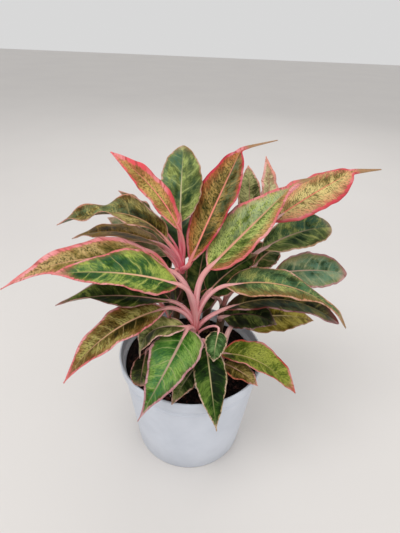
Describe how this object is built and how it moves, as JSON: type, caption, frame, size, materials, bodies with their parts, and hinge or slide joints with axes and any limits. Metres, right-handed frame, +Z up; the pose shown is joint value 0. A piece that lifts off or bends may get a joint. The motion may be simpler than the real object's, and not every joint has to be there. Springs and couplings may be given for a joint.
{
  "type": "potted chinese evergreen",
  "caption": "Chinese evergreen (aglaonema) with pink petioles and pink-edged variegated green leaves, rooted in dark soil in a white plastic nursery pot.",
  "frame": {"origin": "centre of the pot's flat underside", "axes": "+Z up out of the pot; the plant's front faces -Y, +X is to the right seen from the front"},
  "size_m": [0.3305, 0.2173, 0.3256],
  "materials": {
    "pot_plastic": "smooth moulded satin white plastic",
    "soil": "loose dark potting mix of peat, bark and a little perlite",
    "stem_pink": "smooth pink living stems",
    "leaf_mature": "satin dark green leaves speckled lime, with pink margins and pale midribs",
    "leaf_young": "satin young leaves, lime and rose with red margins",
    "leaf_old": "satin small old dark leaves with pale margins"
  },
  "bodies": {
    "root": {"pot": "pot_plastic", "soil": "soil", "shoot_front": "stem_pink", "shoot_rear": "stem_pink", "shoot_right": "stem_pink", "shoot_back": "stem_pink", "shoot_side": "stem_pink", "leaf_front_1": "leaf_young", "leaf_front_2": "leaf_mature", "leaf_front_3": "leaf_mature", "leaf_front_4": "leaf_mature", "leaf_front_5": "leaf_mature", "leaf_front_6": "leaf_mature", "leaf_front_7": "leaf_mature", "leaf_front_8": "leaf_mature", "leaf_front_9": "leaf_old", "leaf_front_10": "leaf_mature", "leaf_front_11": "leaf_mature", "leaf_front_12": "leaf_old", "leaf_front_13": "leaf_old", "leaf_front_14": "leaf_mature", "leaf_front_15": "leaf_mature", "leaf_front_16": "leaf_mature", "leaf_front_17": "leaf_old", "leaf_rear_1": "leaf_young", "leaf_rear_2": "leaf_young", "leaf_rear_3": "leaf_young", "leaf_rear_4": "leaf_mature", "leaf_rear_5": "leaf_mature", "leaf_rear_6": "leaf_mature", "leaf_rear_7": "leaf_mature", "leaf_rear_8": "leaf_mature", "leaf_rear_9": "leaf_mature", "leaf_rear_10": "leaf_mature", "leaf_rear_11": "leaf_mature", "leaf_rear_12": "leaf_mature", "leaf_right_1": "leaf_young", "leaf_right_2": "leaf_mature", "leaf_right_3": "leaf_mature", "leaf_right_4": "leaf_mature", "leaf_right_5": "leaf_mature", "leaf_right_6": "leaf_mature", "leaf_back_1": "leaf_young", "leaf_back_2": "leaf_young", "leaf_back_3": "leaf_mature", "leaf_back_4": "leaf_mature", "leaf_back_5": "leaf_mature", "leaf_side_1": "leaf_mature", "leaf_side_2": "leaf_old", "leaf_side_3": "leaf_mature"}
  },
  "joints": []
}
